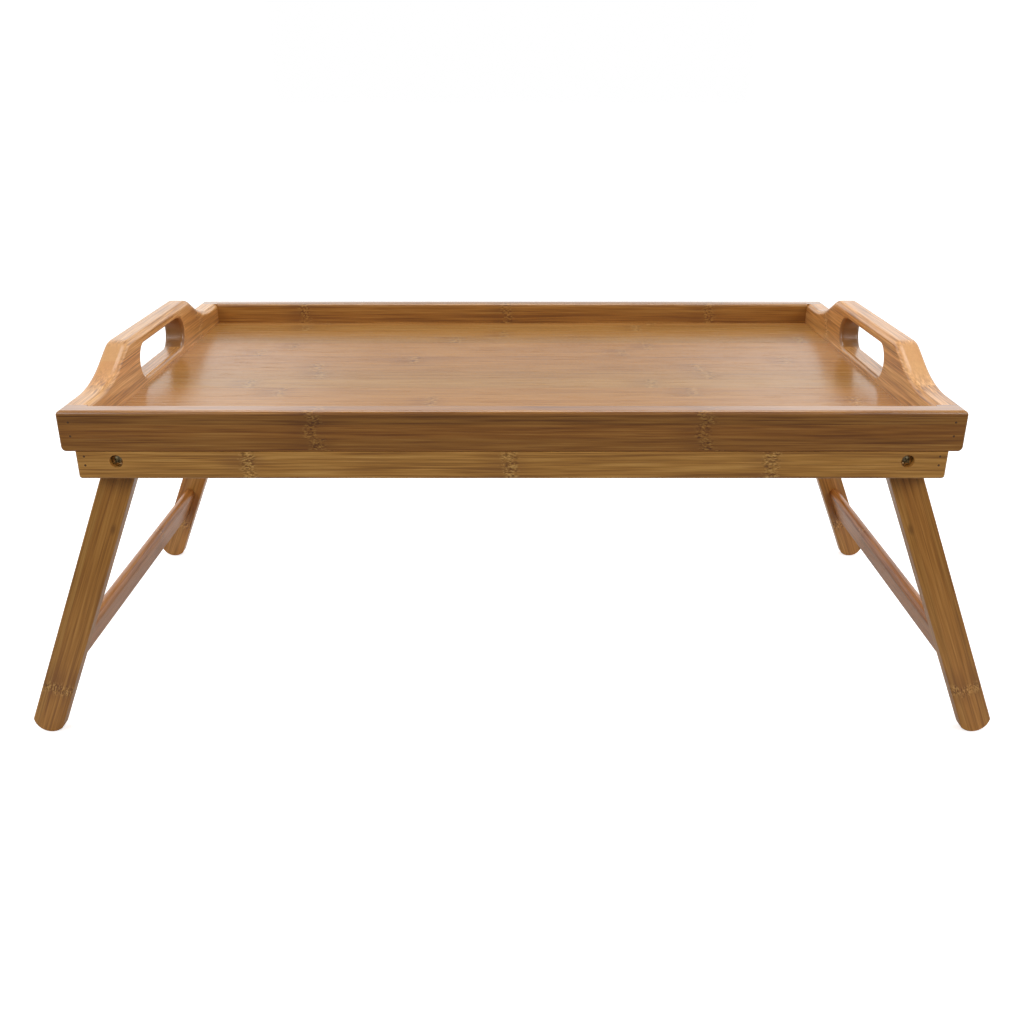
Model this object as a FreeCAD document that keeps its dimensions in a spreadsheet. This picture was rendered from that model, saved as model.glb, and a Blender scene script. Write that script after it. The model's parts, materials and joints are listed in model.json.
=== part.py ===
"""A folding bed tray: a bamboo tray on two folding leg frames, as a parametric document.

Frame: millimetres, +Z up, +X along the tray's length, -Y towards its front.
The origin is on the floor, under the middle of the open table.
"""
import FreeCAD, Part
import math
import os
from types import SimpleNamespace

import Sketcher
from FreeCAD import Placement, Rotation, Vector

doc = FreeCAD.newDocument("FoldingTrayTable")

X_AXIS = Vector(1, 0, 0)
Y_AXIS = Vector(0, 1, 0)
Z_AXIS = Vector(0, 0, 1)

# The driving dimensions, in millimetres and degrees.
SHEET = [
    ("tray_length", 500.0, "rail length, which is the tray's outside length"),
    ("tray_depth", 300.0, "outside depth over the front and back rails"),
    ("rail_thickness", 12.0, "front and back rail"),
    ("rail_height", 23.4, "front and back rail, and the low ends of the side boards"),
    ("rail_corner", 2.8, "rounding of a rail's lower end corners"),
    ("top_rounding", 2.4, "top edges of the rails, and outer top edges of the side boards"),
    ("edge_rounding", 1.0, "rounding of the other long edges"),
    ("board_thickness", 14.0, "side board"),
    ("handle_height", 41.6, "top of the handle above the rail's underside"),
    ("handle_flat", 118.0, "length of the handle's level top"),
    ("handle_spread", 240.0, "length of the raised part of the side board"),
    ("hollow_radius", 85.0, "concave curve at the foot of the handle's slope"),
    ("crown_radius", 21.0, "convex curve at the top of the handle's slope"),
    ("handle_rounding", 3.5, "inner top edge of the side board"),
    ("slot_rounding", 2.5, "the slot's edges"),
    ("slot_length", 92.5, "hand slot, end to end"),
    ("slot_height", 21.5, "hand slot"),
    ("slot_centre", 23.0, "middle of the hand slot above the rail's underside"),
    ("panel_thickness", 3.7, "bottom panel"),
    ("panel_underside", 4.4, "panel's underside above the rail's underside"),
    ("groove_depth", 4.0, "groove in rails and side boards that holds the panel"),
    ("panel_play", 0.2, "gap between the panel's edge and the groove's bottom"),
    ("apron_thickness", 12.0, "apron under the front and back rails"),
    ("apron_height", 16.0, "apron"),
    ("apron_inset", 7.5, "rail's end to apron's end"),
    ("apron_corner", 1.8, "rounding of an apron's lower end corners"),
    ("cross_rail_height", 10.2, "rail between the aprons that stops the opened legs"),
    ("stop_gap", 0.3, "opened leg to cross rail"),
    ("leg_width", 18.6, "leg, seen from the front"),
    ("leg_thickness", 10.0, "leg, along the pivot"),
    ("leg_splay", 22.3, "degrees from upright of an opened leg"),
    ("leg_gap", 1.0, "apron to leg, where the spacer washer sits"),
    ("foot_centre", 192.0, "pivot to the centre of the foot's curve"),
    ("foot_radius", 10.4, "foot's curve"),
    ("foot_corner", 2.0, "rounding where the foot's curve meets the leg's sides"),
    ("pivot_inset", 29.6, "rail's end to pivot"),
    ("pivot_drop", 5.7, "pivot below the rail's underside"),
    ("stretcher_thickness", 8.0, "stretcher, across the leg"),
    ("stretcher_width", 27.5, "stretcher, along the leg"),
    ("stretcher_distance", 150.0, "pivot to the stretcher's middle, along the leg"),
    ("tenon_length", 5.8, "stretcher's end inside the leg"),
    ("mortise_depth", 6.0, "mortise in the leg's inner face"),
    ("mortise_play", 0.15, "gap around the tenon"),
    ("screw_diameter", 4.0, "pivot screw shank"),
    ("screw_length", 25.0, "pivot screw, under its head"),
    ("screw_head_diameter", 6.8, "pan head"),
    ("screw_head_height", 2.8, "pan head"),
    ("screw_head_side", 1.7, "straight side of the pan head"),
    ("recess_length", 4.2, "cross recess, end to end"),
    ("recess_width", 1.1, "cross recess"),
    ("recess_depth", 1.7, "cross recess"),
    ("counterbore_diameter", 7.4, "hole in the apron for the screw's head"),
    ("counterbore_depth", 4.6, "hole in the apron for the screw's head"),
    ("bore_play", 0.08, "radial running clearance round the screw's shank"),
    ("spacer_thickness", 0.7, "washer between apron and leg"),
    ("washer_thickness", 0.8, "washer between leg and nut"),
    ("washer_diameter", 9.0, "both washers"),
    ("washer_gap", 0.3, "leg to the washer on each side"),
    ("nut_width", 7.0, "lock nut, across its flats"),
    ("nut_hex_height", 3.2, "lock nut's hexagon"),
    ("nut_height", 4.8, "lock nut with its collar"),
    ("nut_collar_diameter", 6.4, "lock nut's round collar"),
    ("brad_diameter", 1.0, "brad nail shank"),
    ("brad_head_diameter", 1.3, "brad nail head"),
    ("brad_head_height", 0.8, "brad nail head"),
    ("brad_length", 25.0, "brad nail"),
    ("rail_brad_inset", 6.4, "rail's end to its brads"),
    ("rail_brad_low", 9.0, "lower rail brad above the rail's underside"),
    ("rail_brad_high", 17.0, "upper rail brad above the rail's underside"),
    ("apron_brad_inset", 4.6, "apron's end to its brads"),
    ("apron_brad_high", 2.8, "upper apron brad below the rail's underside"),
    ("apron_brad_low", 8.0, "lower apron brad below the rail's underside"),
]


class Size:
    """A length or angle with its value and the sheet expression that gives it."""

    def __init__(self, value, text=None):
        self.value = float(value)
        self.text = text if text is not None else repr(self.value)

    def __add__(self, other):
        other = as_size(other)
        return Size(self.value + other.value, f"({self.text} + {other.text})")

    def __sub__(self, other):
        other = as_size(other)
        return Size(self.value - other.value, f"({self.text} - {other.text})")

    def __mul__(self, other):
        other = as_size(other)
        return Size(self.value * other.value, f"({self.text} * {other.text})")

    def __truediv__(self, other):
        other = as_size(other)
        return Size(self.value / other.value, f"({self.text} / {other.text})")

    def __neg__(self):
        return Size(-self.value, f"(-{self.text})")


def as_size(number):
    return number if isinstance(number, Size) else Size(number)


def trig(name, angle):
    """The sine, cosine or tangent (sin, cos, tan) of an angle in degrees."""
    return Size(getattr(math, name)(math.radians(angle.value)), f"{name}({angle.text})")


def make_sheet():
    """Write the driving dimensions into the spreadsheet and return them as Sizes."""
    sheet = doc.addObject("Spreadsheet::Sheet", "Sizes")
    for row, (alias, value, note) in enumerate(SHEET, start=1):
        sheet.set(f"A{row}", str(value))
        sheet.setAlias(f"A{row}", alias)
        sheet.set(f"B{row}", note)
    doc.recompute()
    return SimpleNamespace(**{alias: Size(value, f"Sizes.{alias}") for alias, value, _ in SHEET})


d = make_sheet()

# Places that several pieces share.
HALF_LENGTH = d.tray_length / 2
HALF_DEPTH = d.tray_depth / 2
INSIDE_LENGTH = d.tray_length - d.board_thickness * 2
INSIDE_DEPTH = d.tray_depth - d.rail_thickness * 2
PIVOT_X = HALF_LENGTH - d.pivot_inset
PIVOT_Z = d.foot_centre * trig("cos", d.leg_splay) + d.foot_radius
RAIL_BASE = PIVOT_Z + d.pivot_drop
APRON_INSIDE = HALF_DEPTH - d.apron_thickness
LEG_OUTSIDE = APRON_INSIDE - d.leg_gap
LEG_INSIDE = LEG_OUTSIDE - d.leg_thickness
SCREW_SEAT = HALF_DEPTH - d.counterbore_depth


# Document helpers

def bind(piece, name, size):
    """Tie a property to the sheet. A size with no sheet value in it is left as it is."""
    if "Sizes" in size.text:
        piece.setExpression(name, size.text)


def place(piece, x=0.0, y=0.0, z=0.0, axis=Z_AXIS, angle=0.0):
    """Put a piece at a point, turned about an axis, with both tied to the sheet."""
    spot = [as_size(value) for value in (x, y, z)]
    turn = as_size(angle)
    piece.Placement = Placement(Vector(*[value.value for value in spot]), Rotation(axis, turn.value))
    for name, value in zip("xyz", spot):
        bind(piece, f"Placement.Base.{name}", value)
    bind(piece, "Placement.Rotation.Angle", turn)
    return piece


def primitive(kind, name, **sizes):
    """A Part primitive with its sizes tied to the sheet."""
    piece = doc.addObject(f"Part::{kind}", name)
    for key, size in sizes.items():
        bind(piece, key, size)
    return piece


def boolean(kind, base, tool, name):
    """A Part::Cut, Part::Fuse or Part::Common of two pieces."""
    result = doc.addObject(f"Part::{kind}", name)
    result.Base = base
    result.Tool = tool
    return result


def new_body(name):
    return doc.addObject("PartDesign::Body", name)


def origin_feature(body, role):
    return next(feature for feature in body.Origin.OriginFeatures if feature.Role == role)


def new_sketch(body, name, role):
    sketch = body.newObject("Sketcher::SketchObject", f"{body.Name}_{name}")
    sketch.AttachmentSupport = [(origin_feature(body, role), "")]
    sketch.MapMode = "FlatFace"
    return sketch


def pad(body, sketch, length):
    """Pad a sketch equally to both sides of its plane."""
    feature = body.newObject("PartDesign::Pad", f"{sketch.Name}_pad")
    feature.Profile = sketch
    feature.SideType = "Symmetric"
    bind(feature, "Length", length)
    return feature


def pocket_through(body, sketch):
    """Cut a sketch right through, to both sides of its plane."""
    feature = body.newObject("PartDesign::Pocket", f"{sketch.Name}_pocket")
    feature.Profile = sketch
    feature.SideType = "Symmetric"
    feature.Type = "ThroughAll"
    return feature


def pocket_along(body, sketch, length):
    """Cut a sketch to both sides of its plane, over a length in all."""
    feature = body.newObject("PartDesign::Pocket", f"{sketch.Name}_pocket")
    feature.Profile = sketch
    feature.SideType = "Symmetric"
    bind(feature, "Length", length)
    return feature


def pocket_one_way(body, sketch, reverse):
    """Cut a sketch from its plane outwards through one side."""
    feature = body.newObject("PartDesign::Pocket", f"{sketch.Name}_pocket")
    feature.Profile = sketch
    feature.Type = "ThroughAll"
    feature.Reversed = reverse
    return feature


def mirror(body, feature, role):
    """Mirror a feature in one of the body's own planes."""
    copy = body.newObject("PartDesign::Mirrored", f"{feature.Name}_mirrored")
    copy.Originals = [feature]
    copy.MirrorPlane = (origin_feature(body, role), [""])
    body.Tip = copy
    return copy


def round_edges(body, radius, name, chosen):
    """Round the edges of the body so far for which chosen(edge) is true."""
    doc.recompute()
    base = body.Tip
    edges = [f"Edge{i}" for i, edge in enumerate(base.Shape.Edges, start=1) if chosen(edge)]
    feature = body.newObject("PartDesign::Fillet", f"{body.Name}_{name}")
    feature.Base = (base, edges)
    bind(feature, "Radius", radius)
    return feature


def near(value, size):
    return abs(value - as_size(size).value) < 0.01


def lies_at(edge, axis, size):
    """True when the whole edge has the coordinate size on the axis, 0 to 2 for X to Z."""
    ends = [edge.BoundBox.XMin, edge.BoundBox.YMin, edge.BoundBox.ZMin]
    tops = [edge.BoundBox.XMax, edge.BoundBox.YMax, edge.BoundBox.ZMax]
    return near(ends[axis], size) and near(tops[axis], size)


# Sketch helpers

def coordinate(sketch, geometry, point, axis, size):
    """Fix one coordinate of a point, "X" or "Y", measured from the sketch's origin."""
    size = as_size(size)
    if size.value == 0:
        other_axis = -2 if axis == "X" else -1
        sketch.addConstraint(Sketcher.Constraint("PointOnObject", geometry, point, other_axis))
        return
    distance = Sketcher.Constraint(f"Distance{axis}", -1, 1, geometry, point, size.value)
    index = sketch.addConstraint(distance)
    bind(sketch, f"Constraints[{index}]", size)


def radius_of(sketch, geometry, size):
    index = sketch.addConstraint(Sketcher.Constraint("Radius", geometry, size.value))
    bind(sketch, f"Constraints[{index}]", size)


def add_line(sketch, start, end):
    return sketch.addGeometry(Part.LineSegment(Vector(*start, 0), Vector(*end, 0)))


def add_arc(sketch, centre, radius, start_angle, end_angle):
    """Add an anticlockwise arc. Angles are in degrees from the sketch's X axis."""
    circle = Part.Circle(Vector(*centre, 0), Z_AXIS, radius)
    arc = Part.ArcOfCircle(circle, math.radians(start_angle), math.radians(end_angle))
    return sketch.addGeometry(arc)


def constrain(sketch, kind, *pairs):
    for pair in pairs:
        sketch.addConstraint(Sketcher.Constraint(kind, *pair))


def rectangle(sketch, low, high):
    """A rectangle between two corners, each a pair of sizes."""
    (x0, y0), (x1, y1) = [[as_size(value) for value in corner] for corner in (low, high)]
    corners = [(x0.value, y0.value), (x1.value, y0.value), (x1.value, y1.value), (x0.value, y1.value)]
    bottom, right, top, left = [add_line(sketch, corners[i], corners[(i + 1) % 4]) for i in range(4)]
    constrain(sketch, "Coincident", (bottom, 2, right, 1), (right, 2, top, 1))
    constrain(sketch, "Coincident", (top, 2, left, 1), (left, 2, bottom, 1))
    constrain(sketch, "Horizontal", (bottom,), (top,))
    constrain(sketch, "Vertical", (left,), (right,))
    coordinate(sketch, bottom, 1, "X", x0)
    coordinate(sketch, bottom, 1, "Y", y0)
    coordinate(sketch, right, 2, "X", x1)
    coordinate(sketch, right, 2, "Y", y1)


def circle(sketch, x, y, radius):
    x, y = as_size(x), as_size(y)
    index = sketch.addGeometry(Part.Circle(Vector(x.value, y.value, 0), Z_AXIS, radius.value))
    coordinate(sketch, index, 3, "X", x)
    coordinate(sketch, index, 3, "Y", y)
    radius_of(sketch, index, radius)


def level_stadium(sketch, centre_y, length, height):
    """A level slot with round ends, centred on the sketch's Y axis."""
    radius = height / 2
    reach = length.value / 2 - radius.value
    middle = centre_y.value
    left = add_arc(sketch, (-reach, middle), radius.value, 90, 270)
    right = add_arc(sketch, (reach, middle), radius.value, -90, 90)
    low = add_line(sketch, (-reach, middle - radius.value), (reach, middle - radius.value))
    high = add_line(sketch, (reach, middle + radius.value), (-reach, middle + radius.value))
    constrain(sketch, "Tangent", (left, 2, low, 1), (low, 2, right, 1))
    constrain(sketch, "Tangent", (right, 2, high, 1), (high, 2, left, 1))
    constrain(sketch, "Horizontal", (low,))
    radius_of(sketch, right, radius)
    coordinate(sketch, right, 3, "X", length / 2 - radius)
    coordinate(sketch, left, 3, "X", -(length / 2 - radius))
    coordinate(sketch, right, 3, "Y", centre_y)


def upright_stadium(sketch, centre_y, length, width):
    """An upright slot with round ends, centred on the sketch's Y axis."""
    radius = width / 2
    reach = length / 2 - radius
    side = radius.value
    low_y = centre_y.value - reach.value
    high_y = centre_y.value + reach.value
    top = add_arc(sketch, (0, high_y), side, 0, 180)
    bottom = add_arc(sketch, (0, low_y), side, 180, 360)
    left = add_line(sketch, (-side, high_y), (-side, low_y))
    right = add_line(sketch, (side, low_y), (side, high_y))
    constrain(sketch, "Tangent", (top, 2, left, 1), (left, 2, bottom, 1))
    constrain(sketch, "Tangent", (bottom, 2, right, 1), (right, 2, top, 1))
    radius_of(sketch, top, radius)
    coordinate(sketch, top, 3, "X", 0)
    coordinate(sketch, top, 3, "Y", centre_y + reach)
    coordinate(sketch, bottom, 3, "X", 0)
    coordinate(sketch, bottom, 3, "Y", centre_y - reach)


# Tray pieces

def tray_panel():
    """The flat bottom, held in grooves on all four sides."""
    length = INSIDE_LENGTH + (d.groove_depth - d.panel_play) * 2
    width = INSIDE_DEPTH + (d.groove_depth - d.panel_play) * 2
    panel = primitive("Box", "tray_panel", Length=length, Width=width, Height=d.panel_thickness)
    return place(panel, -(length / 2), -(width / 2), RAIL_BASE + d.panel_underside)


def long_rail(name, turn, brads):
    """A front or back rail, modelled with its inner face towards +Y and then turned into place."""
    body = new_body(f"{name}_strip")
    outline = new_sketch(body, "outline", "XZ_Plane")
    rectangle(outline, (-HALF_LENGTH, 0), (HALF_LENGTH, d.rail_height))
    pad(body, outline, d.rail_thickness)
    inner_face = d.rail_thickness / 2
    groove = new_sketch(body, "groove", "YZ_Plane")
    groove_top = d.panel_underside + d.panel_thickness
    rectangle(groove, (inner_face - d.groove_depth, d.panel_underside), (inner_face, groove_top))
    pocket_along(body, groove, INSIDE_LENGTH + d.groove_depth * 2)
    edge_waste = new_sketch(body, "edge_waste", "YZ_Plane")
    rounding_waste(edge_waste, inner_face, d.rail_height, d.top_rounding)
    pocket_along(body, edge_waste, INSIDE_LENGTH)
    round_edges(body, d.rail_corner, "end_corners", is_lower_end_corner)
    round_edges(body, d.top_rounding, "top_edges", is_rail_top_edge)
    round_edges(body, d.edge_rounding, "lower_edge", is_rail_lower_edge)
    y = -(HALF_DEPTH - inner_face) if turn == 0 else HALF_DEPTH - inner_face
    place(body, 0, y, RAIL_BASE, Z_AXIS, turn)
    return boolean("Cut", body, brads, name)


def rounding_waste(sketch, face, top, radius):
    """What a rounding takes off the square edge at (face, top).

    The rail's inner edge is rounded this way, only between the side boards, so that it
    stays square where their ends meet it.
    """
    centre = (face - radius, top - radius)
    above = add_line(sketch, (centre[0].value, top.value), (face.value, top.value))
    beside = add_line(sketch, (face.value, top.value), (face.value, centre[1].value))
    curve = add_arc(sketch, (centre[0].value, centre[1].value), radius.value, 0, 90)
    constrain(sketch, "Coincident", (above, 2, beside, 1), (beside, 2, curve, 1), (curve, 2, above, 1))
    constrain(sketch, "Horizontal", (above,))
    constrain(sketch, "Vertical", (beside,))
    coordinate(sketch, above, 2, "X", face)
    coordinate(sketch, above, 2, "Y", top)
    coordinate(sketch, above, 1, "X", centre[0])
    coordinate(sketch, beside, 2, "Y", centre[1])
    radius_of(sketch, curve, radius)


def is_lower_end_corner(edge):
    """The two edges across a strip's thickness at the bottom of its ends."""
    box = edge.BoundBox
    across = box.XLength < 0.01 and box.ZLength < 0.01
    return across and near(box.ZMin, 0) and box.YLength > 1 and abs(box.XMin) > HALF_LENGTH.value - 20


def is_rail_top_edge(edge):
    """The outer top edge and the top edge of each end."""
    outer = lies_at(edge, 1, -(d.rail_thickness / 2))
    end = lies_at(edge, 0, HALF_LENGTH) or lies_at(edge, 0, -HALF_LENGTH)
    return lies_at(edge, 2, d.rail_height) and (outer or end)


def is_rail_lower_edge(edge):
    """The lower edge of a rail's outer face, which continues round the corners."""
    return is_lower_edge(edge, -(d.rail_thickness / 2))


def is_lower_edge(edge, face):
    """The lower edge of the face at a distance from a strip's middle."""
    return lies_at(edge, 1, face) and near(edge.BoundBox.ZMin, 0)


def side_board(name, turn, brads):
    """An end board with a raised handle, modelled with its inner face towards +X."""
    body = new_body(f"{name}_plank")
    outline = new_sketch(body, "outline", "YZ_Plane")
    half_board_outline(outline)
    half = pad(body, outline, d.board_thickness)
    mirror(body, half, "XZ_Plane")
    slot = new_sketch(body, "slot", "YZ_Plane")
    level_stadium(slot, d.slot_centre, d.slot_length, d.slot_height)
    pocket_through(body, slot)
    inner_face = d.board_thickness / 2
    groove = new_sketch(body, "groove", "XZ_Plane")
    groove_top = d.panel_underside + d.panel_thickness
    rectangle(groove, (inner_face - d.groove_depth, d.panel_underside), (inner_face, groove_top))
    pocket_through(body, groove)
    round_edges(body, d.top_rounding, "outer_top", lambda edge: is_board_top_edge(edge, -1))
    round_edges(body, d.handle_rounding, "inner_top", lambda edge: is_board_top_edge(edge, 1))
    round_edges(body, d.slot_rounding, "slot_edges", is_slot_edge)
    x = -(HALF_LENGTH - inner_face) if turn == 0 else HALF_LENGTH - inner_face
    place(body, x, 0, RAIL_BASE, Z_AXIS, turn)
    return boolean("Cut", body, brads, name)


def half_board_outline(sketch):
    """Half of the side board's outline: level end, hollow, straight slope, crown, level handle."""
    end = INSIDE_DEPTH / 2
    foot = d.handle_spread / 2
    crown = d.handle_flat / 2
    rise = d.handle_height.value - d.rail_height.value
    run = foot.value - crown.value
    low, high = d.rail_height.value, d.handle_height.value
    hollow_r, crown_r = d.hollow_radius.value, d.crown_radius.value
    slope_length = math.sqrt(run ** 2 + rise ** 2 - 2 * (hollow_r + crown_r) * rise)
    slope = 2 * math.atan(rise / (run + slope_length))
    lean = (math.sin(slope), 1 - math.cos(slope))
    slope_low = (foot.value - hollow_r * lean[0], low + hollow_r * lean[1])
    slope_high = (crown.value + crown_r * lean[0], high - crown_r * lean[1])
    slope_degrees = math.degrees(slope)

    base = add_line(sketch, (0, 0), (end.value, 0))
    end_side = add_line(sketch, (end.value, 0), (end.value, low))
    shoulder = add_line(sketch, (end.value, low), (foot.value, low))
    hollow = add_arc(sketch, (foot.value, low + hollow_r), hollow_r, 270 - slope_degrees, 270)
    ramp = add_line(sketch, slope_low, slope_high)
    crest = add_arc(sketch, (crown.value, high - crown_r), crown_r, 90 - slope_degrees, 90)
    top = add_line(sketch, (crown.value, high), (0, high))
    middle = add_line(sketch, (0, high), (0, 0))
    constrain(sketch, "Coincident", (base, 1, -1, 1), (base, 2, end_side, 1), (end_side, 2, shoulder, 1))
    constrain(sketch, "Coincident", (top, 2, middle, 1), (middle, 2, base, 1))
    constrain(sketch, "Horizontal", (base,), (shoulder,), (top,))
    constrain(sketch, "Vertical", (end_side,), (middle,))
    constrain(sketch, "Tangent", (shoulder, 2, hollow, 2), (hollow, 1, ramp, 1))
    constrain(sketch, "Tangent", (ramp, 2, crest, 1), (crest, 2, top, 1))
    coordinate(sketch, end_side, 2, "X", end)
    coordinate(sketch, end_side, 2, "Y", d.rail_height)
    coordinate(sketch, hollow, 2, "X", foot)
    coordinate(sketch, crest, 2, "X", crown)
    coordinate(sketch, top, 2, "Y", d.handle_height)
    radius_of(sketch, hollow, d.hollow_radius)
    radius_of(sketch, crest, d.crown_radius)


def is_board_top_edge(edge, side):
    """The board's top outline on its inner (+1) or outer (-1) face."""
    on_face = lies_at(edge, 0, d.board_thickness / 2 * side)
    return on_face and edge.BoundBox.ZMin > d.rail_height.value - 0.01 and not is_slot_edge(edge)


def is_slot_edge(edge):
    """The edge of the hand slot on either face."""
    on_face = lies_at(edge, 0, d.board_thickness / 2) or lies_at(edge, 0, -(d.board_thickness / 2))
    reach = (d.slot_length / 2).value + 0.01
    box = edge.BoundBox
    above = box.ZMin > (d.slot_centre - d.slot_height / 2).value - 0.01
    below = box.ZMax < (d.slot_centre + d.slot_height / 2).value + 0.01
    return on_face and above and below and max(abs(box.YMin), abs(box.YMax)) < reach


def apron(name, side, brads):
    """A strip glued under a rail, drilled for the two pivot screws. Side is -1 in front, 1 behind."""
    body = new_body(f"{name}_strip")
    outline = new_sketch(body, "outline", "XZ_Plane")
    half = HALF_LENGTH - d.apron_inset
    rectangle(outline, (-half, 0), (half, d.apron_height))
    pad(body, outline, d.apron_thickness)
    bores = new_sketch(body, "bores", "XZ_Plane")
    seats = new_sketch(body, "screw_seats", "XZ_Plane")
    seat_plane = (d.counterbore_depth - d.apron_thickness / 2) * side
    bind(seats, "AttachmentOffset.Base.z", seat_plane)
    for end in (-1, 1):
        pivot_height = d.apron_height - d.pivot_drop
        circle(bores, PIVOT_X * end, pivot_height, d.screw_diameter / 2 + d.bore_play)
        circle(seats, PIVOT_X * end, pivot_height, d.counterbore_diameter / 2)
    pocket_through(body, bores)
    pocket_one_way(body, seats, reverse=side < 0)
    round_edges(body, d.apron_corner, "end_corners", is_lower_end_corner)
    face = d.apron_thickness / 2 * side
    round_edges(body, d.edge_rounding, "lower_edge", lambda edge: is_lower_edge(edge, face))
    place(body, 0, (HALF_DEPTH - d.apron_thickness / 2) * side, RAIL_BASE - d.apron_height)
    return boolean("Cut", body, brads, name)


def cross_rail(name, side, brads):
    """The strip between the aprons at one end, whose lower inner edge stops the opened legs."""
    half_leg = d.leg_width / 2
    across = half_leg * trig("cos", d.leg_splay) + d.stop_gap / trig("cos", d.leg_splay)
    fall = d.cross_rail_height - d.pivot_drop + half_leg * trig("sin", d.leg_splay)
    inner_face = PIVOT_X + across + fall * trig("tan", d.leg_splay)
    thickness = HALF_LENGTH - d.apron_inset - inner_face
    length = APRON_INSIDE * 2
    strip = primitive("Box", f"{name}_strip", Length=thickness, Width=length, Height=d.cross_rail_height)
    x = inner_face if side > 0 else -(inner_face + thickness)
    place(strip, x, -APRON_INSIDE, RAIL_BASE - d.cross_rail_height)
    return boolean("Cut", strip, brads, name)


# Leg frames: each piece has its own origin on the pivot's line, with the leg hanging towards -Z.

def leg(name, end, side):
    """A leg with a round top, a rounded foot, a pivot bore and a blind mortise on its inner face.

    End is -1 at the left and 1 at the right. Side is -1 in front and 1 behind.
    """
    body = new_body(name)
    outline = new_sketch(body, "outline", "XZ_Plane")
    leg_outline(outline)
    pad(body, outline, d.leg_thickness)
    round_edges(body, d.foot_corner, "foot_corners", is_foot_corner)
    round_edges(body, d.edge_rounding, "long_edges", is_leg_face_edge)
    bore = new_sketch(body, "bore", "XZ_Plane")
    circle(bore, 0, 0, d.screw_diameter / 2 + d.bore_play)
    pocket_through(body, bore)
    mortise = new_sketch(body, "mortise", "XZ_Plane")
    mortise_plane = (d.leg_thickness / 2 - d.mortise_depth) * side
    bind(mortise, "AttachmentOffset.Base.z", mortise_plane)
    width = d.stretcher_width + d.mortise_play * 2
    upright_stadium(mortise, -d.stretcher_distance, width, d.stretcher_thickness + d.mortise_play * 2)
    pocket_one_way(body, mortise, reverse=side > 0)
    y = (LEG_OUTSIDE - d.leg_thickness / 2) * side
    return place(body, PIVOT_X * end, y, PIVOT_Z, Y_AXIS, -(d.leg_splay * end))


def leg_outline(sketch):
    """A round top about the pivot, straight sides and a foot that curves about a lower centre."""
    half = d.leg_width / 2
    foot_drop = math.sqrt(d.foot_radius.value ** 2 - half.value ** 2)
    foot_angle = math.degrees(math.acos(half.value / d.foot_radius.value))
    low = -d.foot_centre.value - foot_drop
    crown = add_arc(sketch, (0, 0), half.value, 0, 180)
    left = add_line(sketch, (-half.value, 0), (-half.value, low))
    centre = (0, -d.foot_centre.value)
    foot = add_arc(sketch, centre, d.foot_radius.value, 180 + foot_angle, 360 - foot_angle)
    right = add_line(sketch, (half.value, low), (half.value, 0))
    constrain(sketch, "Tangent", (crown, 2, left, 1), (right, 2, crown, 1))
    constrain(sketch, "Coincident", (crown, 3, -1, 1), (left, 2, foot, 1), (foot, 2, right, 1))
    constrain(sketch, "Vertical", (left,), (right,))
    radius_of(sketch, crown, half)
    radius_of(sketch, foot, d.foot_radius)
    coordinate(sketch, foot, 3, "X", 0)
    coordinate(sketch, foot, 3, "Y", -d.foot_centre)


def is_foot_corner(edge):
    """The edges across the leg where its sides meet the foot's curve."""
    box = edge.BoundBox
    across = box.XLength < 0.01 and box.ZLength < 0.01
    return across and box.ZMax < -d.foot_centre.value


def is_leg_face_edge(edge):
    """The outline of the leg on its front and back faces."""
    half = d.leg_thickness / 2
    return lies_at(edge, 1, half) or lies_at(edge, 1, -half)


def stretcher(name, end):
    """The round-edged bar that joins two legs, with its ends in their mortises."""
    body = new_body(name)
    section = new_sketch(body, "section", "XZ_Plane")
    upright_stadium(section, -d.stretcher_distance, d.stretcher_width, d.stretcher_thickness)
    pad(body, section, (LEG_INSIDE + d.tenon_length) * 2)
    return place(body, PIVOT_X * end, 0, PIVOT_Z, Y_AXIS, -(d.leg_splay * end))


# Fasteners: each kind is made once, at the right front corner, and repeated in all four corners.

def in_all_corners(piece, name):
    """One piece at the right front corner, mirrored to the left and then to the back, as one group."""
    left = doc.addObject("Part::Mirroring", f"{name}_left")
    left.Source = piece
    left.Normal = X_AXIS
    front = doc.addObject("Part::Compound", f"{name}_front")
    front.Links = [piece, left]
    back = doc.addObject("Part::Mirroring", f"{name}_back")
    back.Source = front
    back.Normal = Y_AXIS
    group = doc.addObject("Part::Compound", name)
    group.Links = [front, back]
    return group


def pivot_screws():
    """Pan head machine screws with a cross recess, sunk in the aprons."""
    body = new_body("pivot_screw")
    profile = new_sketch(body, "profile", "XZ_Plane")
    screw_profile(profile)
    turned = body.newObject("PartDesign::Revolution", "pivot_screw_turned")
    turned.Profile = profile
    turned.ReferenceAxis = (profile, ["V_Axis"])
    turned.Angle = 360.0
    recess = new_sketch(body, "recess", "XY_Plane")
    recess.AttachmentOffset = Placement(Vector(0, 0, 0), Rotation(Z_AXIS, 45))
    bind(recess, "AttachmentOffset.Base.z", d.screw_head_height - d.recess_depth)
    half_length, half_width = d.recess_length / 2, d.recess_width / 2
    rectangle(recess, (-half_length, -half_width), (half_length, half_width))
    cut = pocket_one_way(body, recess, reverse=True)
    cross = body.newObject("PartDesign::PolarPattern", "pivot_screw_cross")
    cross.Originals = [cut]
    cross.Axis = (origin_feature(body, "Z_Axis"), [""])
    cross.Angle = 90.0
    cross.Occurrences = 2
    body.Tip = cross
    place(body, PIVOT_X, -SCREW_SEAT, PIVOT_Z, X_AXIS, 90)
    return in_all_corners(body, "pivot_screws")


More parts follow.
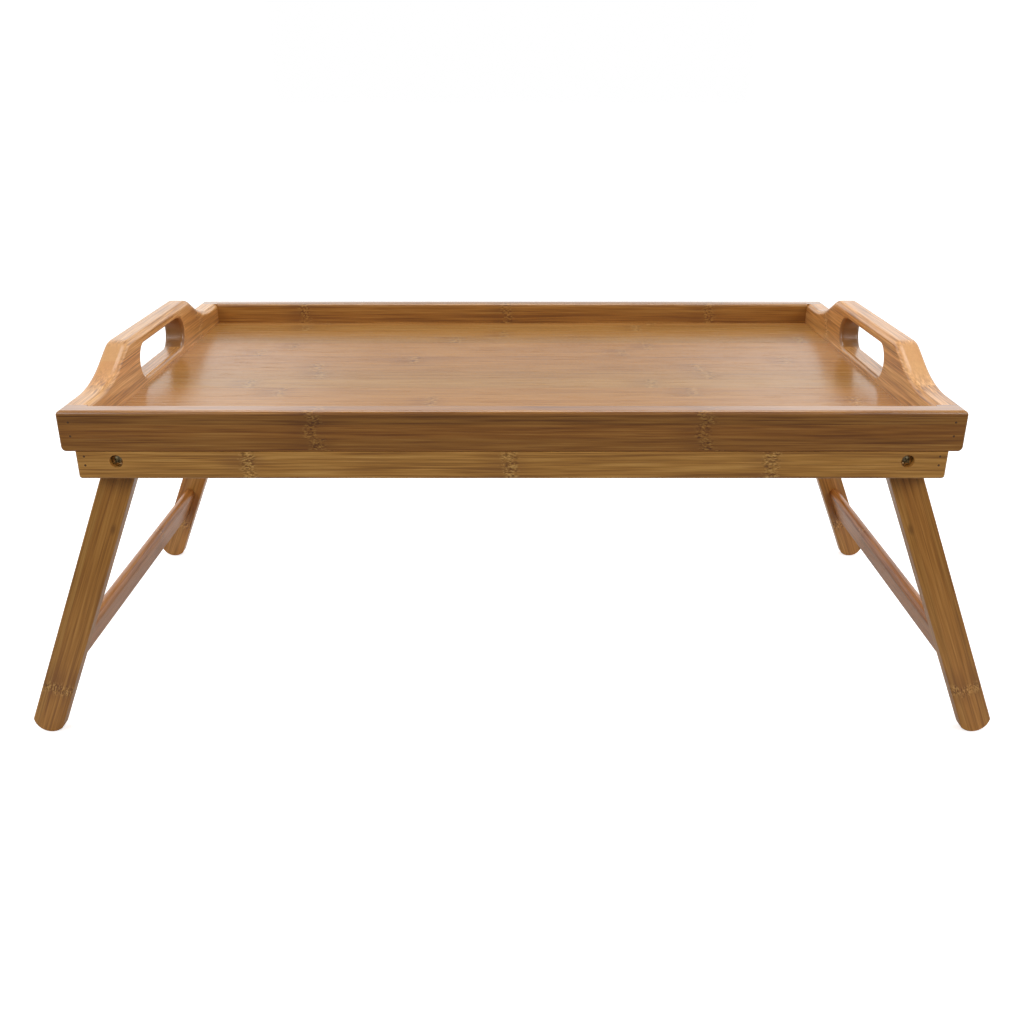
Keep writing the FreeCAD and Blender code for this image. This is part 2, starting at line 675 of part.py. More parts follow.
def screw_profile(sketch):
    """Half of the screw: domed head above the seat at height 0, shank below it."""
    head = d.screw_head_diameter / 2
    shank = d.screw_diameter / 2
    crown, side, reach = d.screw_head_height.value, d.screw_head_side.value, d.screw_length.value
    dome_rise = crown - side
    dome_radius = (head.value ** 2 + dome_rise ** 2) / (2 * dome_rise)
    edge_angle = math.degrees(math.acos(head.value / dome_radius))
    dome = add_arc(sketch, (0, crown - dome_radius), dome_radius, edge_angle, 90)
    axis = add_line(sketch, (0, crown), (0, -reach))
    tip = add_line(sketch, (0, -reach), (shank.value, -reach))
    shank_side = add_line(sketch, (shank.value, -reach), (shank.value, 0))
    seat = add_line(sketch, (shank.value, 0), (head.value, 0))
    rim = add_line(sketch, (head.value, 0), (head.value, side))
    constrain(sketch, "Coincident", (dome, 2, axis, 1), (axis, 2, tip, 1), (tip, 2, shank_side, 1))
    constrain(sketch, "Coincident", (shank_side, 2, seat, 1), (seat, 2, rim, 1), (rim, 2, dome, 1))
    constrain(sketch, "Vertical", (axis,), (shank_side,), (rim,))
    constrain(sketch, "Horizontal", (tip,))
    coordinate(sketch, dome, 3, "X", 0)
    coordinate(sketch, dome, 2, "X", 0)
    coordinate(sketch, dome, 2, "Y", d.screw_head_height)
    coordinate(sketch, tip, 2, "X", shank)
    coordinate(sketch, tip, 2, "Y", -d.screw_length)
    coordinate(sketch, seat, 1, "Y", 0)
    coordinate(sketch, seat, 2, "X", head)
    coordinate(sketch, seat, 2, "Y", 0)
    coordinate(sketch, rim, 2, "Y", d.screw_head_side)


def washers(name, outer_face, thickness):
    """Flat washers on the pivot screws, with their outer face at a distance from the middle."""
    disc = primitive("Cylinder", f"{name}_disc", Radius=d.washer_diameter / 2, Height=thickness)
    hole_radius = d.screw_diameter / 2 + d.bore_play
    hole = primitive("Cylinder", f"{name}_hole", Radius=hole_radius, Height=thickness)
    for piece in (disc, hole):
        place(piece, PIVOT_X, -outer_face + thickness, PIVOT_Z, X_AXIS, 90)
    return in_all_corners(boolean("Cut", disc, hole, f"{name}_single"), name)


def lock_nuts():
    """Hexagon nuts with a round collar, on the inner ends of the pivot screws."""
    seat = LEG_INSIDE - d.washer_gap - d.washer_thickness
    corner_radius = d.nut_width / 2 / trig("cos", Size(30))
    hexagon = primitive("Prism", "lock_nut_hexagon", Circumradius=corner_radius, Height=d.nut_hex_height)
    collar = primitive("Cylinder", "lock_nut_collar", Radius=d.nut_collar_diameter / 2, Height=d.nut_height)
    bore = primitive("Cylinder", "lock_nut_bore", Radius=d.screw_diameter / 2, Height=d.nut_height)
    for piece in (hexagon, collar, bore):
        place(piece, PIVOT_X, -seat, PIVOT_Z, X_AXIS, -90)
    solid = boolean("Fuse", hexagon, collar, "lock_nut_solid")
    return in_all_corners(boolean("Cut", solid, bore, "lock_nut_single"), "lock_nuts")


def brad(name, x, z):
    """A small headed nail driven from the front face towards the back."""
    head = primitive("Cylinder", f"{name}_head", Radius=d.brad_head_diameter / 2, Height=d.brad_head_height)
    shank = primitive("Cylinder", f"{name}_shank", Radius=d.brad_diameter / 2, Height=d.brad_length)
    for piece in (head, shank):
        place(piece, x, -HALF_DEPTH, z, X_AXIS, -90)
    return boolean("Fuse", head, shank, name)


def brads(name, x, heights):
    """Two brads in each corner, at the same distance from the end."""
    pair = doc.addObject("Part::Compound", f"{name}_pair")
    pair.Links = [brad(f"{name}_{row}", x, z) for row, z in zip(("high", "low"), heights)]
    return in_all_corners(pair, name)


def build():
    """Make every sub-part and return the finished ones."""
    rail_brads = brads(
        "rail_brads",
        HALF_LENGTH - d.rail_brad_inset,
        (RAIL_BASE + d.rail_brad_high, RAIL_BASE + d.rail_brad_low),
    )
    apron_brads = brads(
        "apron_brads",
        HALF_LENGTH - d.apron_inset - d.apron_brad_inset,
        (RAIL_BASE - d.apron_brad_high, RAIL_BASE - d.apron_brad_low),
    )
    return [
        tray_panel(),
        long_rail("front_rail", 0, rail_brads),
        long_rail("back_rail", 180, rail_brads),
        side_board("left_side_board", 0, rail_brads),
        side_board("right_side_board", 180, rail_brads),
        apron("front_apron", -1, apron_brads),
        apron("back_apron", 1, apron_brads),
        cross_rail("left_cross_rail", -1, apron_brads),
        cross_rail("right_cross_rail", 1, apron_brads),
        leg("front_left_leg", -1, -1),
        leg("back_left_leg", -1, 1),
        stretcher("left_stretcher", -1),
        leg("front_right_leg", 1, -1),
        leg("back_right_leg", 1, 1),
        stretcher("right_stretcher", 1),
        pivot_screws(),
        washers("spacer_washers", APRON_INSIDE, d.spacer_thickness),
        washers("nut_washers", LEG_INSIDE - d.washer_gap, d.washer_thickness),
        lock_nuts(),
        rail_brads,
        apron_brads,
    ]


def check(parts):
    """Stop if any object failed to compute or any sub-part has no valid shape."""
    doc.recompute()
    for item in doc.Objects:
        if {"Invalid", "Error"} & set(item.State):
            raise RuntimeError(f"{item.Name} did not compute: {item.State}")
    for part in parts:
        if part.Shape.isNull() or not part.Shape.isValid():
            raise RuntimeError(f"{part.Label} has no valid shape")


def export(parts):
    os.makedirs("parts", exist_ok=True)
    for part in parts:
        part.Shape.exportStep(f"parts/{part.Label}.step")
        print(f"{part.Label}: {len(part.Shape.Solids)} solid(s), {part.Shape.Volume:.0f} mm3")


finished = build()
check(finished)
export(finished)
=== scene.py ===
"""Looks of the folding bamboo tray table: materials, floor, light and camera.

Every shape comes from the CAD frame and stays as it is. The script gives each CAD
node a procedural material, and puts a pale floor, studio light and a camera round it.
Metres throughout, in the CAD frame: x to the right, y to the back, z up.
"""

import json
import math

import bpy
from mathutils import Matrix, Vector


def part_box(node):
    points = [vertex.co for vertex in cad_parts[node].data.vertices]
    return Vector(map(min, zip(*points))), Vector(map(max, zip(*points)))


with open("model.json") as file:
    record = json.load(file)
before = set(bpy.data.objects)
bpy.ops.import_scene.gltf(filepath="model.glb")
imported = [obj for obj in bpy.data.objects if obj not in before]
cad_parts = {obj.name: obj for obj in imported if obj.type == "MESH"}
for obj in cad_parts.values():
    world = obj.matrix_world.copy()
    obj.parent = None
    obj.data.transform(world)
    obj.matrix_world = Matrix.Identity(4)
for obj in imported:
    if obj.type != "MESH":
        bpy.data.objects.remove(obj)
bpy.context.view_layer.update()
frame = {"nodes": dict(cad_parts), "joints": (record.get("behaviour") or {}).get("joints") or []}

MM = 0.001

# --------------------------------------------------------------------------------------
# Node trees
# --------------------------------------------------------------------------------------


class Tree:
    """A node tree under construction, with one short method for each kind of step."""

    def __init__(self, owner):
        owner.use_nodes = True
        self.nodes = owner.node_tree.nodes
        self.links = owner.node_tree.links
        self.nodes.clear()

    def add(self, kind, **settings):
        node = self.nodes.new(kind)
        for name, value in settings.items():
            setattr(node, name, value)
        return node

    def feed(self, socket, value):
        """Link a socket to value if that is another socket, and else set it to value."""
        if isinstance(value, bpy.types.NodeSocket):
            self.links.new(value, socket)
        else:
            socket.default_value = value

    def sum(self, operation, a, b=0.0, c=0.0):
        """One arithmetic step on plain values."""
        node = self.add("ShaderNodeMath", operation=operation)
        for socket, value in zip(node.inputs, (a, b, c)):
            self.feed(socket, value)
        return node.outputs[0]

    def fade(self, value, low, high, out_low=0.0, out_high=1.0):
        """A smooth step from out_low to out_high while value goes from low to high."""
        node = self.add("ShaderNodeMapRange", interpolation_type="SMOOTHSTEP")
        for socket, number in zip(node.inputs, (value, low, high, out_low, out_high)):
            self.feed(socket, number)
        return node.outputs[0]

    def split(self, vector):
        node = self.add("ShaderNodeSeparateXYZ")
        self.feed(node.inputs[0], vector)
        return node.outputs

    def join(self, x, y, z):
        node = self.add("ShaderNodeCombineXYZ")
        for socket, value in zip(node.inputs, (x, y, z)):
            self.feed(socket, value)
        return node.outputs[0]

    def stretch(self, vector, factors):
        node = self.add("ShaderNodeVectorMath", operation="MULTIPLY")
        self.feed(node.inputs[0], vector)
        self.feed(node.inputs[1], factors)
        return node.outputs[0]

    def noise(self, vector, detail=2.0, roughness=0.5, distortion=0.0, seed=0.0):
        """Noise at one grain per unit of vector, from about 0.25 to 0.75."""
        node = self.add("ShaderNodeTexNoise", noise_dimensions="4D")
        self.feed(node.inputs["Vector"], vector)
        self.feed(node.inputs["W"], seed)
        node.inputs["Scale"].default_value = 1.0
        node.inputs["Detail"].default_value = detail
        node.inputs["Roughness"].default_value = roughness
        node.inputs["Distortion"].default_value = distortion
        return node.outputs["Fac"]

    def ramp(self, value, stops):
        """A colour for each value, through (place, colour) stops."""
        node = self.add("ShaderNodeValToRGB")
        self.feed(node.inputs[0], value)
        elements = node.color_ramp.elements
        while len(elements) < len(stops):
            elements.new(0.5)
        for element, (place, colour) in zip(elements, stops):
            element.position = place
            element.color = (*colour, 1.0)
        return node.outputs[0]

    def blend(self, factor, first, second, kind="MIX"):
        """Two colours mixed."""
        node = self.add("ShaderNodeMix", data_type="RGBA", blend_type=kind)
        self.feed(node.inputs[0], factor)
        for socket, colour in zip(node.inputs[6:8], (first, second)):
            plain = not isinstance(colour, bpy.types.NodeSocket)
            self.feed(socket, (*colour, 1.0) if plain else colour)
        return node.outputs[2]

    def bump(self, height, depth):
        """A surface normal for a height from 0 to 1 that stands for depth metres."""
        node = self.add("ShaderNodeBump")
        self.feed(node.inputs["Height"], height)
        node.inputs["Distance"].default_value = depth
        return node.outputs[0]


def new_material(name):
    """A material with an empty tree that ends in one Principled shader."""
    material = bpy.data.materials.new(name)
    tree = Tree(material)
    shader = tree.add("ShaderNodeBsdfPrincipled")
    output = tree.add("ShaderNodeOutputMaterial")
    tree.links.new(shader.outputs[0], output.inputs["Surface"])
    return material, tree, shader


def finish_node(name, material):
    """Put the material in every slot of a CAD node."""
    slots = frame["nodes"][name].material_slots
    for slot in slots:
        slot.link = "OBJECT"
        slot.material = material


# --------------------------------------------------------------------------------------
# Bamboo
# --------------------------------------------------------------------------------------

# Linear colours of lacquered, steamed bamboo, from the darkest fibre to the palest.
FIBRE = (0.105, 0.042, 0.010)
DEEP = (0.215, 0.088, 0.019)
CARAMEL = (0.335, 0.150, 0.034)
HONEY = (0.430, 0.215, 0.060)
STRAW = (0.560, 0.325, 0.115)
NODE_HALO = (0.190, 0.075, 0.020)
NODE_DARK = (0.090, 0.034, 0.010)
NODE_PALE = (0.520, 0.300, 0.100)

# Grains of noise per metre: along the grain, across it, and through the piece.
BROAD = (2.6, 55.0, 55.0)
MEDIUM = (8.0, 480.0, 480.0)
THREAD = (16.0, 760.0, 760.0)
FINE = (26.0, 1250.0, 1250.0)
VESSEL = (34.0, 1700.0, 1700.0)
WAVE = (60.0, 500.0, 500.0)
FLECK = (520.0, 1300.0, 1300.0)
PATCH = (90.0, 90.0, 90.0)

# How far the grain's relief stands up, and how wide the painted edge highlight is.
GRAIN_RELIEF = 0.05 * MM
EDGE_HIGHLIGHT_WIDTH = 1.6 * MM
# painted highlight: how much paler and whiter the edges are painted
EDGE_HIGHLIGHT_TINT = (1.30, 1.34, 1.45)


def along(grain, across, middle):
    """A piece's own axes and middle, from its grain and the way its strips stack."""
    grain = Vector(grain).normalized()
    across = Vector(across).normalized()
    turn = Matrix((grain, across, grain.cross(across))).transposed()
    return turn.to_euler(), Vector(middle)


def bamboo(name, placing, seed, strip, node_gap, node_shift, node_jitter, tint=(1.0, 1.0, 1.0),
           roughness=0.34, coat=1.0, contrast=1.0, speckle=1.0, knot=None, slot_shade=None):
    """Laminated bamboo, solid through the piece.

    strip is (height, depth) of one strip of the laminate. The culm's own nodes cross a
    strip every node_gap, node_shift from the piece's middle, and each strip is moved by
    up to node_jitter, because the strips were cut from different culms. knot is the place
    of one small dark knot, along and across the grain from the piece's middle. The last
    argument is how far from the middle the end grain is darkened: painted shade on the
    walls of the slot, towards the darkest fibre colour.
    """
    material, tree, shader = new_material(name)
    rotation, middle = placing
    place = tree.add("ShaderNodeMapping", vector_type="TEXTURE")
    tree.feed(place.inputs["Vector"], tree.add("ShaderNodeTexCoord").outputs["Object"])
    place.inputs["Location"].default_value = middle
    place.inputs["Rotation"].default_value = rotation
    point = place.outputs[0]
    u, v, w = tree.split(point)

    # strips: a cell number across and through the piece, and three random numbers for each
    row = tree.sum("DIVIDE", v, strip[0])
    row = tree.sum("ADD", row, 0.5)
    layer = tree.sum("DIVIDE", w, strip[1])
    layer = tree.sum("ADD", layer, 0.5)
    cell = tree.join(tree.sum("FLOOR", row), tree.sum("FLOOR", layer), seed)
    luck = tree.add("ShaderNodeTexWhiteNoise", noise_dimensions="3D")
    tree.feed(luck.inputs["Vector"], cell)
    tone_luck, shift_luck, hue_luck = tree.split(luck.outputs["Color"])
    own = tree.sum("MULTIPLY_ADD", tone_luck, 7.3, seed)

    # distance along the grain to the nearest node of this strip, wavy across the strip
    wave = tree.noise(tree.stretch(point, WAVE), detail=3.0, seed=own)
    along_u = tree.sum("MULTIPLY_ADD", tree.sum("SUBTRACT", wave, 0.5), 10 * MM, u)
    jitter = tree.sum("SUBTRACT", shift_luck, 0.5)
    start = tree.sum("MULTIPLY_ADD", jitter, 2 * node_jitter, node_shift)
    turns = tree.sum("DIVIDE", tree.sum("SUBTRACT", along_u, start), node_gap)
    turns = tree.sum("SUBTRACT", turns, tree.sum("ROUND", turns))
    off = tree.sum("MULTIPLY", turns, node_gap)
    away = tree.sum("ABSOLUTE", off)
    core = tree.fade(away, 1.5 * MM, 6.0 * MM, 1.0, 0.0)
    halo = tree.fade(tree.sum("ABSOLUTE", tree.sum("ADD", off, 4 * MM)), 1 * MM, 18 * MM, 1.0, 0.0)

    # how squarely a face cuts the grain: 0 on a side, 1 on an end
    normal_u = tree.add("ShaderNodeVectorMath", operation="DOT_PRODUCT")
    tree.feed(normal_u.inputs[0], tree.add("ShaderNodeTexCoord").outputs["Normal"])
    tree.feed(normal_u.inputs[1], rotation.to_matrix().col[0])
    end_grain = tree.fade(tree.sum("ABSOLUTE", normal_u.outputs["Value"]), 0.15, 0.45)

    # fibres: long noise at four widths, and short dark dashes where a vessel is cut open
    broad = tree.noise(tree.stretch(point, BROAD), detail=1.0, seed=own)
    medium = tree.noise(tree.stretch(point, MEDIUM), detail=2.0, seed=own)
    thread = tree.noise(tree.stretch(point, THREAD), detail=1.0, seed=own)
    fine = tree.noise(tree.stretch(point, FINE), detail=2.0, seed=own)
    vessel = tree.noise(tree.stretch(point, VESSEL), detail=1.0, seed=seed + 3.1)
    dash = tree.fade(vessel, 0.60, 0.70)

    side_only = tree.sum("MULTIPLY_ADD", end_grain, -0.87 * contrast, contrast)
    fibres = tree.sum("MULTIPLY", tree.sum("SUBTRACT", medium, 0.5), 0.28)
    fibres = tree.sum("MULTIPLY_ADD", tree.sum("SUBTRACT", thread, 0.5), 0.80, fibres)
    fibres = tree.sum("MULTIPLY_ADD", tree.sum("SUBTRACT", fine, 0.5), 1.10, fibres)
    tone = tree.sum("MULTIPLY_ADD", tree.sum("SUBTRACT", broad, 0.5), 0.30 * contrast, 0.5)
    tone = tree.sum("MULTIPLY_ADD", fibres, side_only, tone)
    tone = tree.sum("MULTIPLY_ADD", end_grain, 0.01, tone)
    tone = tree.sum("MULTIPLY_ADD", tree.sum("SUBTRACT", tone_luck, 0.5), 0.16 * contrast, tone)
    shades = ((0.0, FIBRE), (0.25, DEEP), (0.5, CARAMEL), (0.75, HONEY), (1.0, STRAW))
    colour = tree.ramp(tone, shades)
    colour = tree.blend(tree.sum("MULTIPLY", dash, tree.sum("MULTIPLY", side_only, 0.45)), colour, DEEP)

    # the node: a reddish halo, and flecks that are pale or nearly black at its heart
    streaks = tree.fade(medium, 0.35, 0.60, 0.65, 0.15)
    reddened = tree.sum("MULTIPLY", streaks, speckle)
    colour = tree.blend(tree.sum("MULTIPLY", halo, reddened), colour, NODE_HALO)
    flecks = tree.noise(tree.stretch(point, FLECK), detail=2.0, seed=own, distortion=0.6)
    pale = tree.sum("MULTIPLY", tree.fade(flecks, 0.50, 0.62), core)
    dark = tree.sum("MULTIPLY", tree.fade(flecks, 0.38, 0.48, 1.0, 0.0), core)
    colour = tree.blend(tree.sum("MULTIPLY", dark, 0.7 * speckle), colour, NODE_DARK)
    colour = tree.blend(tree.sum("MULTIPLY", pale, 0.75 * speckle), colour, NODE_PALE)

    if knot:
        from_knot = tree.add("ShaderNodeVectorMath", operation="DISTANCE")
        tree.feed(from_knot.inputs[0], tree.join(tree.sum("MULTIPLY", u, 0.4), v, 0.0))
        tree.feed(from_knot.inputs[1], (knot[0] * 0.4, knot[1], 0.0))
        eye = tree.fade(from_knot.outputs["Value"], 0.3 * MM, 2.2 * MM, 0.5, 0.0)
        colour = tree.blend(eye, colour, NODE_DARK)

    # painted shade: end grain near the middle, the walls of the slot, darkened towards the darkest
    # fibre colour
    if slot_shade:
        painted_slot_shade = tree.fade(tree.sum("ABSOLUTE", u), slot_shade, slot_shade + 3 * MM, 0.75, 0.0)
        colour = tree.blend(tree.sum("MULTIPLY", painted_slot_shade, end_grain), colour, FIBRE)

    # glue lines between strips, and a little more red or yellow from strip to strip
    edge_v = tree.sum("ABSOLUTE", tree.sum("SUBTRACT", tree.sum("FRACT", row), 0.5))
    seam = tree.fade(edge_v, 0.5 - 0.22 * MM / strip[0], 0.5)
    seam = tree.sum("MULTIPLY", seam, tree.sum("MULTIPLY", hue_luck, 0.3))
    colour = tree.blend(seam, colour, DEEP)
    warm = tree.ramp(hue_luck, ((0.0, (1.04, 0.97, 0.90)), (1.0, (0.97, 1.02, 1.06))))
    colour = tree.blend(1.0, colour, warm, "MULTIPLY")
    colour = tree.blend(1.0, colour, tint, "MULTIPLY")

    # painted highlight: colour made paler and whiter, in patches, along the edges, where rounded edges
    # catch the light
    bevel = tree.add("ShaderNodeBevel", samples=4)
    bevel.inputs["Radius"].default_value = EDGE_HIGHLIGHT_WIDTH
    facing = tree.add("ShaderNodeVectorMath", operation="DOT_PRODUCT")
    tree.feed(facing.inputs[0], bevel.outputs[0])
    tree.feed(facing.inputs[1], tree.add("ShaderNodeNewGeometry").outputs["Normal"])
    edge = tree.fade(facing.outputs["Value"], 0.90, 0.995, 1.0, 0.0)
    patchy = tree.noise(tree.stretch(point, PATCH), detail=3.0, seed=seed)
    painted_edge_highlight = tree.sum("MULTIPLY", edge, tree.fade(patchy, 0.35, 0.65, 0.15, 0.55))
    paler = tree.blend(1.0, colour, EDGE_HIGHLIGHT_TINT, "MULTIPLY")
    colour = tree.blend(painted_edge_highlight, colour, paler)
    tree.feed(shader.inputs["Base Color"], colour)

    # satin lacquer, thinner over open fibres
    gloss = tree.sum("MULTIPLY_ADD", fine, 0.10, roughness - 0.05)
    gloss = tree.sum("MULTIPLY_ADD", dash, 0.12, gloss)
    tree.feed(shader.inputs["Roughness"], gloss)
    height = tree.sum("MULTIPLY_ADD", medium, 0.6, fine)
    height = tree.sum("MULTIPLY_ADD", dash, -0.6, height)
    height = tree.sum("MULTIPLY", height, tree.sum("MULTIPLY_ADD", end_grain, -0.75, 1.0))
    normal = tree.bump(height, GRAIN_RELIEF)
    tree.feed(shader.inputs["Normal"], normal)
    shader.inputs["IOR"].default_value = 1.5
    shader.inputs["Coat Weight"].default_value = coat
    shader.inputs["Coat Roughness"].default_value = 0.20
    return material


def middle_of(name):
    low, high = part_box(name)
    return (low + high) / 2


X = (1.0, 0.0, 0.0)
Y = (0.0, 1.0, 0.0)
Z = (0.0, 0.0, 1.0)

finish_node("tray_panel", bamboo(
    "bamboo_panel", along(X, Y, middle_of("tray_panel")), 11.0, strip=(20 * MM, 4 * MM),
    node_gap=260 * MM, node_shift=0.0, node_jitter=130 * MM, tint=(1.21, 1.27, 1.42),
    roughness=0.22, coat=0.0, contrast=0.60, speckle=0.85))

for seed, side, gap, shift in ((21.0, "front", 216 * MM, 108 * MM), (22.0, "back", 162 * MM, 0.0)):
    finish_node(f"{side}_rail", bamboo(
        f"bamboo_{side}_rail", along(X, Z, middle_of(f"{side}_rail")), seed, strip=(7.8 * MM, 12 * MM),
        node_gap=gap, node_shift=shift, node_jitter=6 * MM, tint=(1.12, 1.00, 0.72)))

for seed, side in ((31.0, "front"), (32.0, "back")):
    finish_node(f"{side}_apron", bamboo(
        f"bamboo_{side}_apron", along(X, Z, middle_of(f"{side}_apron")), seed, strip=(16 * MM, 6 * MM),
        node_gap=146 * MM, node_shift=0.0, node_jitter=4 * MM, tint=(1.88, 1.90, 1.68)))

for seed, side in ((41.0, "left"), (42.0, "right")):
    finish_node(f"{side}_side_board", bamboo(
        f"bamboo_{side}_board", along(Y, Z, middle_of(f"{side}_side_board")), seed,
        strip=(8.3 * MM, 14 * MM),
        node_gap=330 * MM, node_shift=85 * MM, node_jitter=9 * MM, tint=(1.84, 1.97, 2.50),
        # painted shade on the slot's end-grain walls, within 50 mm of the middle
        coat=0.5, contrast=1.15, slot_shade=50 * MM))
    finish_node(f"{side}_cross_rail", bamboo(
        f"bamboo_{side}_cross_rail", along(Y, Z, middle_of(f"{side}_cross_rail")), seed + 2.0,
        strip=(10 * MM, 6 * MM), node_gap=190 * MM, node_shift=30 * MM, node_jitter=6 * MM))

# A leg folds through its splay and a quarter turn, until it lies level.
SPLAY = math.radians(frame["joints"][0]["range_deg"][1] - 90.0)
for number, (side, sign) in enumerate((("left", -1.0), ("right", 1.0))):
    grain = (sign * math.sin(SPLAY), 0.0, -math.cos(SPLAY))
    across = (math.cos(SPLAY), 0.0, sign * math.sin(SPLAY))
    for seed, end in ((51.0 + number, "front"), (53.0 + number, "back")):
        name = f"{end}_{side}_leg"
        finish_node(name, bamboo(
            f"bamboo_{name}", along(grain, across, middle_of(name)), seed, strip=(9.3 * MM, 10 * MM),
            node_gap=230 * MM, node_shift=72 * MM, node_jitter=2 * MM, tint=(1.58, 1.54, 1.36),
            coat=0.3, contrast=0.70, knot=(-48 * MM, -6 * MM * sign)))
    name = f"{side}_stretcher"
    finish_node(name, bamboo(
        f"bamboo_{name}", along(Y, grain, middle_of(name)), 55.0 + number, strip=(9 * MM, 8 * MM),
        node_gap=200 * MM, node_shift=40 * MM, node_jitter=5 * MM, tint=(1.48, 1.27, 1.15), coat=0.2))


# --------------------------------------------------------------------------------------
# Metal and nylon
# --------------------------------------------------------------------------------------


def metal(name, pale, dull, scale, roughness, metallic=1.0):
    """Plated metal with a cloudy tarnish and fine turning scratches."""
    material, tree, shader = new_material(name)
    point = tree.add("ShaderNodeTexCoord").outputs["Object"]
    cloud = tree.noise(tree.stretch(point, (scale,) * 3), detail=4.0, roughness=0.6)
    scratch = tree.noise(tree.stretch(point, (9000.0, 900.0, 9000.0)), detail=2.0)
    tree.feed(shader.inputs["Base Color"], tree.blend(tree.fade(cloud, 0.35, 0.65), dull, pale))
    shader.inputs["Metallic"].default_value = metallic
    rough = tree.sum("MULTIPLY_ADD", tree.fade(cloud, 0.35, 0.65), -0.14, roughness + 0.07)
    rough = tree.sum("MULTIPLY_ADD", scratch, 0.10, rough)
    tree.feed(shader.inputs["Roughness"], rough)
    tree.feed(shader.inputs["Normal"], tree.bump(scratch, 0.01 * MM))
    return material


NYLON_DULL = (0.62, 0.60, 0.54)
NYLON_PALE = (0.82, 0.81, 0.76)


def nylon(name):
    """Milky moulded nylon with a faint moulding texture."""
    material, tree, shader = new_material(name)
    point = tree.add("ShaderNodeTexCoord").outputs["Object"]
    cloud = tree.noise(tree.stretch(point, (260.0,) * 3), detail=3.0)
    pitted = tree.noise(tree.stretch(point, (5200.0,) * 3), detail=2.0)
    tree.feed(shader.inputs["Base Color"], tree.blend(cloud, NYLON_DULL, NYLON_PALE))
    tree.feed(shader.inputs["Roughness"], tree.sum("MULTIPLY_ADD", pitted, 0.15, 0.40))
    tree.feed(shader.inputs["Normal"], tree.bump(pitted, 0.02 * MM))
    shader.inputs["Subsurface Weight"].default_value = 0.15
    shader.inputs["Subsurface Scale"].default_value = 1 * MM
    return material


BRASS_PALE = (0.72, 0.58, 0.34)
BRASS_DULL = (0.20, 0.15, 0.08)
ZINC_PALE = (0.66, 0.66, 0.64)
ZINC_DULL = (0.36, 0.36, 0.36)
BRAD_PALE = (0.165, 0.085, 0.034)
BRAD_DULL = (0.085, 0.045, 0.020)

finish_node("pivot_screws", metal("brass", BRASS_PALE, BRASS_DULL, 900.0, 0.22))
ZINC = metal("zinc", ZINC_PALE, ZINC_DULL, 500.0, 0.36)
for name in ("nut_washers", "lock_nuts"):
    finish_node(name, ZINC)
BRAD_STEEL = metal("brad_steel", BRAD_PALE, BRAD_DULL, 900.0, 0.60, metallic=0.1)
for name in ("rail_brads", "apron_brads"):
    finish_node(name, BRAD_STEEL)
finish_node("spacer_washers", nylon("nylon"))


# --------------------------------------------------------------------------------------
# Floor, light and camera
# --------------------------------------------------------------------------------------

# Half the floor's width, and how brightly the camera sees it shine.
FLOOR_HALF = 15.0
FLOOR_GLOW = 0.70
# What the floor throws back in front of the table and behind it, and the world's strengths.
FLOOR_FRONT = (0.10, 0.10, 0.10)
FLOOR_BACK = (0.75, 0.75, 0.75)
WORLD_FRONT = 0.23
WORLD_BACK = 0.66
WORLD_CORNERS = 1.20


def make_floor():
    """A plain pale sheet under the feet, which the camera sees as white studio paper.

    What it throws back at the table is paler behind the table than in front of it.
    """
    half = FLOOR_HALF
    mesh = bpy.data.meshes.new("floor")
    corners = [(-half, -half, 0), (half, -half, 0), (half, half, 0), (-half, half, 0)]
    mesh.from_pydata(corners, [], [(0, 1, 2, 3)])
    floor = bpy.data.objects.new("floor", mesh)
    bpy.context.scene.collection.objects.link(floor)
    material, tree, shader = new_material("paper")
    point = tree.add("ShaderNodeTexCoord").outputs["Object"]
    cloud = tree.noise(tree.stretch(point, (3.0, 3.0, 3.0)), detail=3.0)
    paper = tree.blend(cloud, (0.84, 0.84, 0.84), (0.88, 0.88, 0.88))
    depth = tree.fade(tree.split(point)[1], -0.45, 0.10)
    bounce = tree.blend(depth, FLOOR_FRONT, FLOOR_BACK)
    seen = tree.add("ShaderNodeLightPath").outputs["Is Camera Ray"]
    tree.feed(shader.inputs["Base Color"], tree.blend(seen, bounce, paper))
    shader.inputs["Roughness"].default_value = 0.9
    shader.inputs["Emission Color"].default_value = (1.0, 1.0, 1.0, 1.0)
    tree.feed(shader.inputs["Emission Strength"], tree.sum("MULTIPLY", seen, FLOOR_GLOW))
    # seen from below, the sheet isn't there
    below = tree.add("ShaderNodeMixShader")
    tree.feed(below.inputs[0], tree.add("ShaderNodeNewGeometry").outputs["Backfacing"])
    tree.feed(below.inputs[1], shader.outputs[0])
    tree.feed(below.inputs[2], tree.add("ShaderNodeBsdfTransparent").outputs[0])
    output = material.node_tree.nodes["Material Output"]
    tree.feed(output.inputs["Surface"], below.outputs[0])
    mesh.materials.append(material)


def softbox(name, place, target, size, power):
    """A rectangular area light that faces target."""
    data = bpy.data.lights.new(name, "AREA")
    data.shape = "RECTANGLE"
    data.size, data.size_y = size
    data.energy = power
    light = bpy.data.objects.new(name, data)
    bpy.context.scene.collection.objects.link(light)
    light.location = place
    light.rotation_euler = (Vector(target) - Vector(place)).to_track_quat("-Z", "Y").to_euler()


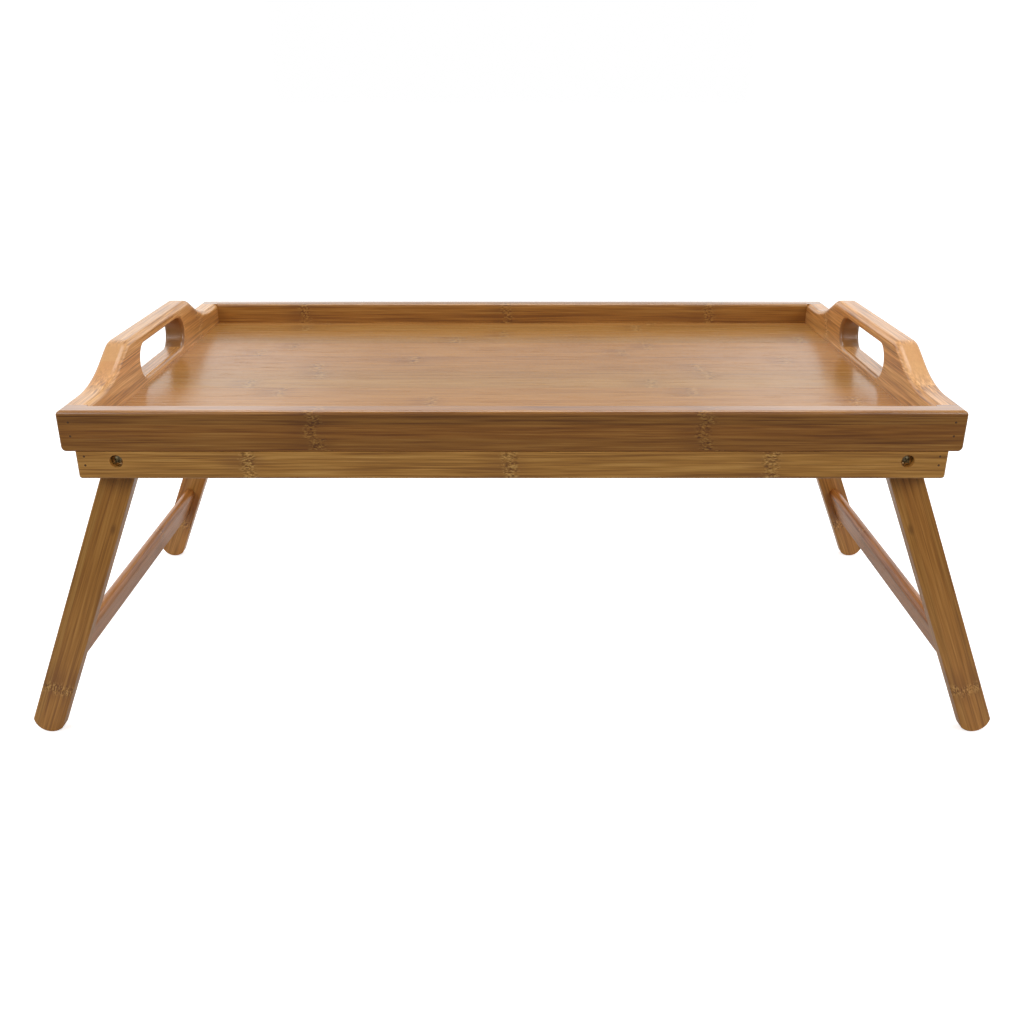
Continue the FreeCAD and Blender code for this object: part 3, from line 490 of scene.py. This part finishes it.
def make_world():
    """White to the camera. As light it is dim in front of the table and brighter behind it."""
    world = bpy.data.worlds.new("studio")
    bpy.context.scene.world = world
    tree = Tree(world)
    sideways, toward_back, up = tree.split(tree.add("ShaderNodeTexCoord").outputs["Generated"])
    corners = tree.fade(tree.sum("ABSOLUTE", sideways), 0.10, 0.28, WORLD_BACK, WORLD_CORNERS)
    glow = tree.fade(toward_back, -0.5, 0.7, WORLD_FRONT, corners)
    glow = tree.sum("MULTIPLY", glow, tree.fade(up, 0.40, 0.80, 1.0, 0.6))
    seen = tree.add("ShaderNodeLightPath").outputs["Is Camera Ray"]
    background = tree.add("ShaderNodeBackground")
    background.inputs["Color"].default_value = (1.0, 1.0, 1.0, 1.0)
    tree.feed(background.inputs["Strength"], tree.sum("MAXIMUM", glow, seen))
    output = tree.add("ShaderNodeOutputWorld")
    tree.links.new(background.outputs[0], output.inputs["Surface"])


# The camera's place, in metres in front of the front rail and above its underside, its
# tilt down in degrees and its lens in millimetres. All four come from a least-squares fit
# of this model's edges to the photograph.
CAMERA_AHEAD = 0.548
CAMERA_ABOVE = 0.1937
CAMERA_TILT = 22.76
CAMERA_LENS = 36.78


def make_camera():
    """The photograph's view: a little above the front of the tray, looking down at it."""
    data = bpy.data.cameras.new("camera")
    data.sensor_width = 36.0
    data.lens = CAMERA_LENS
    camera = bpy.data.objects.new("camera", data)
    bpy.context.scene.collection.objects.link(camera)
    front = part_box("front_rail")[0]
    camera.location = (0.0, front.y - CAMERA_AHEAD, front.z + CAMERA_ABOVE)
    camera.rotation_euler = (math.radians(90.0 - CAMERA_TILT), 0.0, 0.0)
    bpy.context.scene.camera = camera


make_floor()
make_world()
LIT_POINT = (0.0, 0.0, 0.2)
LIGHT_POWER = 10.0
softbox("top_box", (0.0, 0.15, 1.5), LIT_POINT, (1.2, 0.8), LIGHT_POWER)
for side in (-1.0, 1.0):
    softbox("front_box", (side * 1.3, -1.3, 1.3), LIT_POINT, (0.9, 0.9), LIGHT_POWER)
make_camera()
bpy.context.scene.view_settings.view_transform = "Standard"
